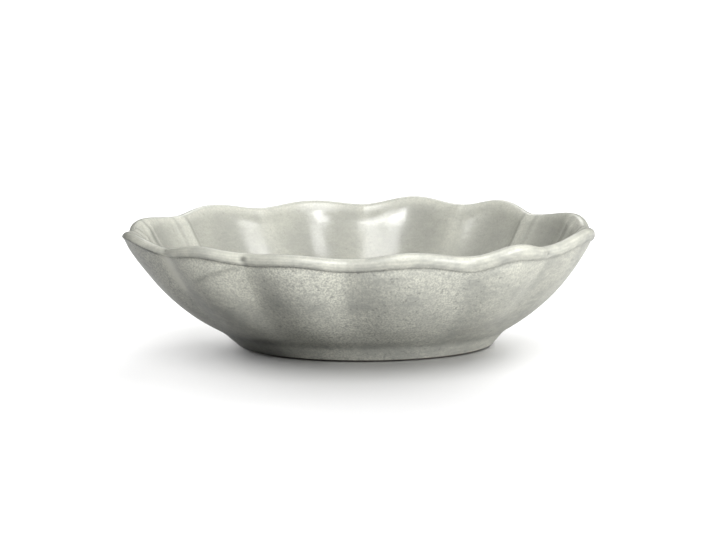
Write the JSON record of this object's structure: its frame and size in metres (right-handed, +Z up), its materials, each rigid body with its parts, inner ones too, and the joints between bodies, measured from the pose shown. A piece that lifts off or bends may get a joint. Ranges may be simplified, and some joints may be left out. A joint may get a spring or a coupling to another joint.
{
  "type": "serving bowl",
  "caption": "Small oval serving bowl of glazed clay with a scalloped, gently waving rim, a rolled lip and a low foot ring, for side dishes, sauces or snacks.",
  "frame": {"origin": "middle of the bowl's outline, on the surface that its foot stands on", "axes": "+X along the bowl's length, +Y across it, +Z up"},
  "size_m": [0.18, 0.1398, 0.0484],
  "materials": {
    "clay": "matt bare fired clay",
    "inner_glaze": "glossy grey-green glaze, paler on the ridges",
    "outer_glaze": "glossy speckled grey-green glaze, darker where it pools"
  },
  "bodies": {
    "root": {"body": "clay", "lip_roll": "clay", "foot_ring": "clay", "glaze_inside": "inner_glaze", "glaze_outside": "outer_glaze", "glaze_underside": "outer_glaze"}
  },
  "joints": []
}
